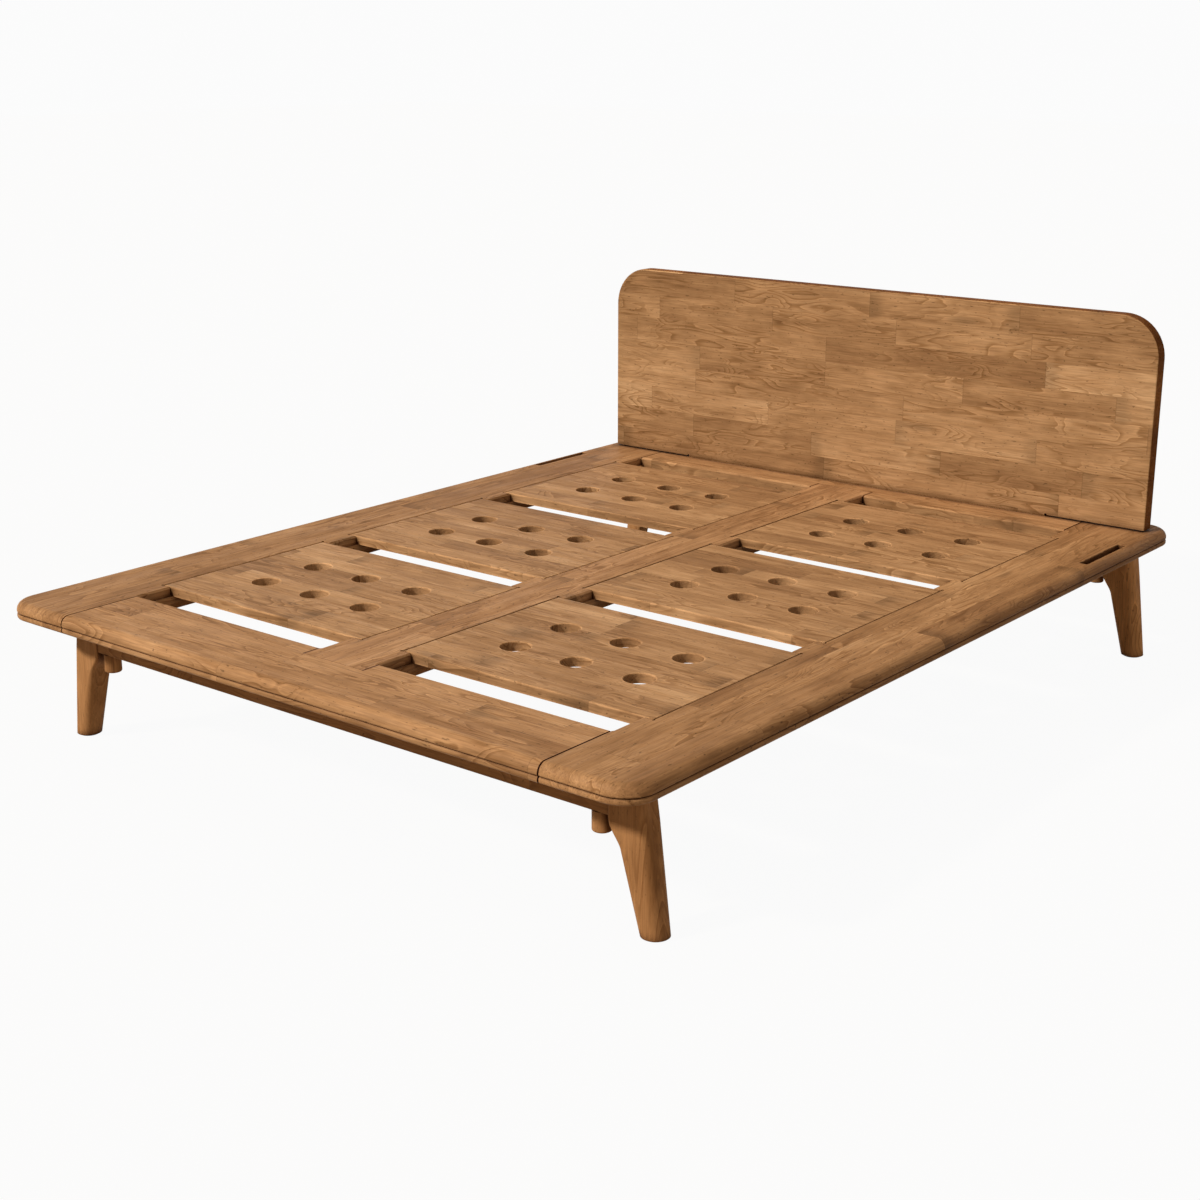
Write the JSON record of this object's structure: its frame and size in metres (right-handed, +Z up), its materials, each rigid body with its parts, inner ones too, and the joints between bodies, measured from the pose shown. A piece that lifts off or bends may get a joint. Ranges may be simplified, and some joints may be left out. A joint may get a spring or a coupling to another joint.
{
  "type": "platform bed",
  "caption": "Low wooden platform bed with a wide moulded ledge all round, lift-out pierced slat panels, round-cornered headboard and splayed tapered legs.",
  "frame": {"origin": "on the floor under the middle of the platform", "axes": "+Z up, +Y towards the headboard, +X to the right seen from the foot end"},
  "size_m": [1.748, 2.232, 0.875],
  "materials": {
    "rail_wood": "satin oiled",
    "cross_wood": "satin oiled",
    "panel_wood": "satin oiled",
    "headboard_wood": "satin oiled",
    "leg_wood": "satin oiled",
    "peg_wood": "satin oiled",
    "frame_wood": "satin oiled",
    "dowel_wood": "unfinished",
    "zinc_steel": "zinc plated",
    "insert_brass": "plain",
    "glide_nylon": "moulded"
  },
  "bodies": {
    "frame": {"left_rail": "rail_wood", "right_rail": "rail_wood", "centre_beam": "rail_wood", "foot_board": "cross_wood", "head_rail": "cross_wood", "headboard": "headboard_wood", "leg_front_left": "leg_wood", "leg_front_right": "leg_wood", "leg_rear_left": "leg_wood", "leg_rear_right": "leg_wood", "lock_peg_front_left": "peg_wood", "lock_peg_front_right": "peg_wood", "lock_peg_rear_left": "peg_wood", "lock_peg_rear_right": "peg_wood", "front_apron": "frame_wood", "rear_apron": "frame_wood", "left_stretcher": "frame_wood", "right_stretcher": "frame_wood", "beam_keel": "frame_wood", "seam_dowels": "dowel_wood", "lap_dowels": "dowel_wood", "peg_studs": "zinc_steel", "headboard_bolts": "zinc_steel", "headboard_washers": "zinc_steel", "keel_screws": "zinc_steel", "stretcher_screws": "zinc_steel", "stud_inserts": "insert_brass", "headboard_inserts": "insert_brass", "foot_glides": "glide_nylon"},
    "slat_panel_left_foot": {"slat_panel_left_foot": "panel_wood"},
    "slat_panel_left_middle": {"slat_panel_left_middle": "panel_wood"},
    "slat_panel_left_head": {"slat_panel_left_head": "panel_wood"},
    "slat_panel_right_foot": {"slat_panel_right_foot": "panel_wood"},
    "slat_panel_right_middle": {"slat_panel_right_middle": "panel_wood"},
    "slat_panel_right_head": {"slat_panel_right_head": "panel_wood"}
  },
  "joints": [
    {"name": "lift_out_left_foot", "type": "slide", "parent": "frame", "child": "slat_panel_left_foot", "axis": [0, 0, 1], "range_m": [0, 0.3]},
    {"name": "lift_out_left_middle", "type": "slide", "parent": "frame", "child": "slat_panel_left_middle", "axis": [0, 0, 1], "range_m": [0, 0.3]},
    {"name": "lift_out_left_head", "type": "slide", "parent": "frame", "child": "slat_panel_left_head", "axis": [0, 0, 1], "range_m": [0, 0.3]},
    {"name": "lift_out_right_foot", "type": "slide", "parent": "frame", "child": "slat_panel_right_foot", "axis": [0, 0, 1], "range_m": [0, 0.3]},
    {"name": "lift_out_right_middle", "type": "slide", "parent": "frame", "child": "slat_panel_right_middle", "axis": [0, 0, 1], "range_m": [0, 0.3]},
    {"name": "lift_out_right_head", "type": "slide", "parent": "frame", "child": "slat_panel_right_head", "axis": [0, 0, 1], "range_m": [0, 0.3]}
  ]
}
